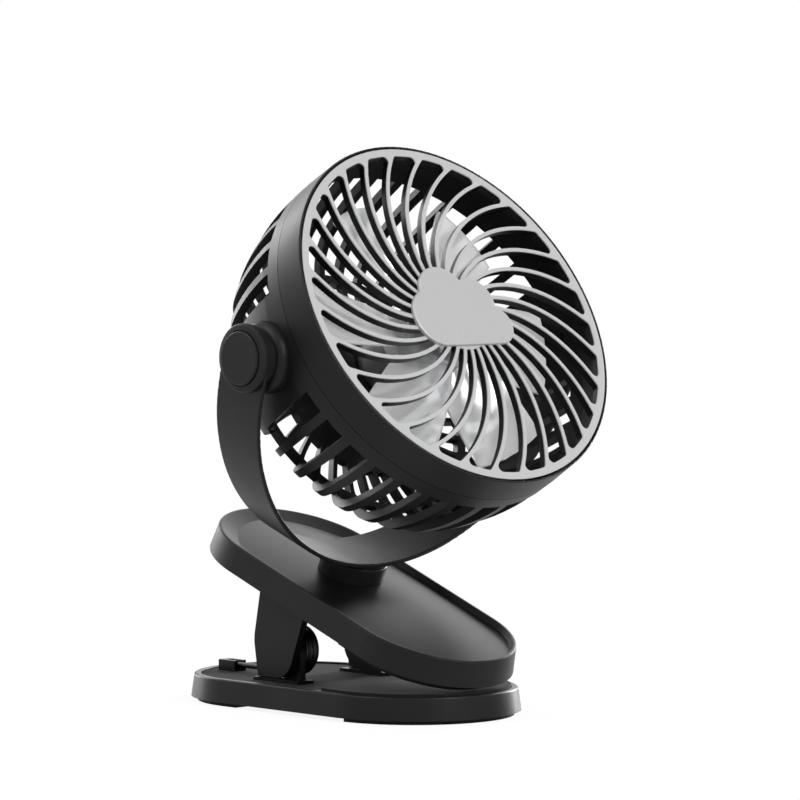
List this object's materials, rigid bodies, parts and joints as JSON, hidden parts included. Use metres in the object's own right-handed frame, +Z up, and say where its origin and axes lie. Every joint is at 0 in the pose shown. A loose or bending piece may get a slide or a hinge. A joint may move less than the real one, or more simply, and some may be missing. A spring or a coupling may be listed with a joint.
{
  "type": "clip fan",
  "caption": "Clip-on desk fan: round head with swirled grille in a half-ring yoke that swivels on a post, on a spring clip whose lower jaw is also its base.",
  "frame": {"origin": "on the table plane, under the centre of the base", "axes": "+X along the clip towards its mouth, +Y across it, +Z up"},
  "size_m": [0.1686, 0.171, 0.2163],
  "materials": {
    "black_plastic": "satin",
    "knob_plastic": "matte",
    "button_plastic": "satin",
    "rubber": "matte",
    "silver_paint": "satin",
    "silver_plate": "brushed",
    "blade_plastic": "translucent",
    "spring_steel": "satin",
    "screw_steel": "satin",
    "port_steel": "satin",
    "motor_steel": "satin",
    "battery_wrap": "gloss",
    "circuit_board": "satin"
  },
  "bodies": {
    "base": {"base_top_shell": "black_plastic", "base_bottom_cover": "black_plastic", "base_screws": "screw_steel", "front_foot": "rubber", "rear_foot": "rubber", "base_grip_pad": "rubber", "battery_pack": "battery_wrap", "charging_board": "circuit_board", "charging_port": "port_steel", "hinge_pins": "spring_steel", "torsion_spring": "spring_steel"},
    "jaw": {"jaw_top_shell": "black_plastic", "jaw_bottom_shell": "black_plastic", "jaw_screws": "screw_steel", "jaw_grip_pad": "rubber", "swivel_post": "black_plastic"},
    "yoke": {"yoke": "black_plastic", "swivel_retainer": "spring_steel"},
    "head": {"front_bezel": "black_plastic", "grille_ribs": "black_plastic", "grille_face": "silver_paint", "hub_plate": "silver_plate", "rear_housing": "black_plastic", "pivot_washers": "black_plastic", "pivot_knob_left": "knob_plastic", "pivot_knob_right": "knob_plastic", "motor": "motor_steel", "rear_cap": "black_plastic", "switch_board": "circuit_board"},
    "rotor": {"fan_blade": "blade_plastic", "motor_shaft": "spring_steel"},
    "button": {"power_button": "button_plastic"}
  },
  "joints": [
    {"name": "clip_open", "type": "hinge", "parent": "base", "child": "jaw", "pos_m": [-0.017, 0, 0.0215], "axis": [0, -1, 0], "range_deg": [0, 30], "stiffness_Nm_per_rad": 0.9, "springref_deg": -57.3},
    {"name": "yoke_swivel", "type": "hinge", "parent": "jaw", "child": "yoke", "pos_m": [-0.00183, 0, 0.05158], "axis": [0.3469, 0, 0.9379], "range_deg": [-170, 170]},
    {"name": "head_tilt", "type": "hinge", "parent": "yoke", "child": "head", "pos_m": [0.03024, 0, 0.13828], "axis": [0, -1, 0], "range_deg": [-120, 60]},
    {"name": "blade_spin", "type": "hinge", "parent": "head", "child": "rotor", "pos_m": [0.03024, 0, 0.13828], "axis": [0.8625, 0, 0.506], "continuous": true},
    {"name": "button_press", "type": "slide", "parent": "head", "child": "button", "axis": [0.8625, 0, 0.506], "range_m": [0, 0.0008], "stiffness_N_per_m": 600, "springref_m": -0.001}
  ]
}
